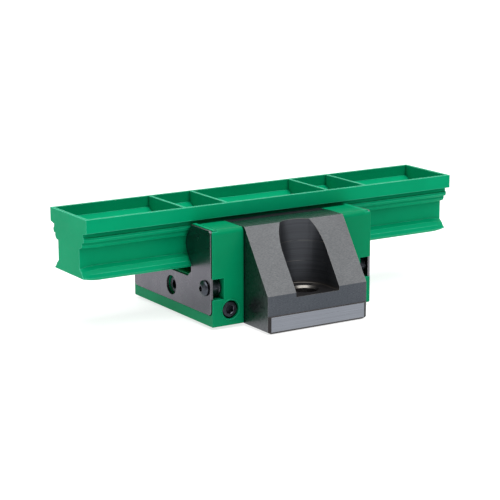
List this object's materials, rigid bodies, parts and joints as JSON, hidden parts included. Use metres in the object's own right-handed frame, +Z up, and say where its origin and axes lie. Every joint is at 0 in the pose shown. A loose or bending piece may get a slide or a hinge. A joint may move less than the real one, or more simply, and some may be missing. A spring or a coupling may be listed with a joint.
{
  "type": "linear guide carriage",
  "caption": "Short flanged ball carriage for a profile rail, upside down on its mounting face, with green end pieces and a sliding green transport rail.",
  "frame": {"origin": "centre of the carriage's mounting face", "axes": "+Z up from the mounting face to the open channel, +X along the rail, -Y the near flange. The carriage is upside down: in use the mounting face is on top"},
  "size_m": [0.159, 0.09, 0.042],
  "materials": {
    "ground_steel": "ground and fine blasted steel",
    "sheet_steel": "satin rolled sheet",
    "green_moulding": "satin moulded plastic",
    "green_rail": "satin moulded plastic",
    "green_lip": "matt elastomer",
    "black_screw": "black oxide",
    "dark_seal": "matt elastomer",
    "white_plastic": "natural moulded plastic",
    "ball_steel": "polished bearing steel"
  },
  "bodies": {
    "carriage": {"saddle_plate": "ground_steel", "end_piece_left": "green_moulding", "end_plate_left": "sheet_steel", "end_wiper_left": "green_lip", "front_port_plug_left": "black_screw", "plate_screw_left_near": "black_screw", "collar_screw_left_near": "black_screw", "side_port_plug_left_near": "black_screw", "return_guide_left_near_low": "white_plastic", "return_guide_left_near_high": "white_plastic", "plate_screw_left_far": "black_screw", "collar_screw_left_far": "black_screw", "side_port_plug_left_far": "black_screw", "return_guide_left_far_low": "white_plastic", "return_guide_left_far_high": "white_plastic", "end_piece_right": "green_moulding", "end_plate_right": "sheet_steel", "end_wiper_right": "green_lip", "front_port_plug_right": "black_screw", "plate_screw_right_near": "black_screw", "collar_screw_right_near": "black_screw", "side_port_plug_right_near": "black_screw", "return_guide_right_near_low": "white_plastic", "return_guide_right_near_high": "white_plastic", "plate_screw_right_far": "black_screw", "collar_screw_right_far": "black_screw", "side_port_plug_right_far": "black_screw", "return_guide_right_far_low": "white_plastic", "return_guide_right_far_high": "white_plastic", "leg_seal_near": "dark_seal", "inner_seal_near": "dark_seal", "ball_retainer_near": "white_plastic", "return_tube_near_low": "white_plastic", "ball_chain_near_low": "ball_steel", "return_tube_near_high": "white_plastic", "ball_chain_near_high": "ball_steel", "leg_seal_far": "dark_seal", "inner_seal_far": "dark_seal", "ball_retainer_far": "white_plastic", "return_tube_far_low": "white_plastic", "ball_chain_far_low": "ball_steel", "return_tube_far_high": "white_plastic", "ball_chain_far_high": "ball_steel"},
    "transport_rail": {"dummy_rail": "green_rail"}
  },
  "joints": [
    {"name": "dummy_rail_slide", "type": "slide", "parent": "carriage", "child": "transport_rail", "axis": [1, 0, 0], "range_m": [-0.048, 0.041]}
  ]
}
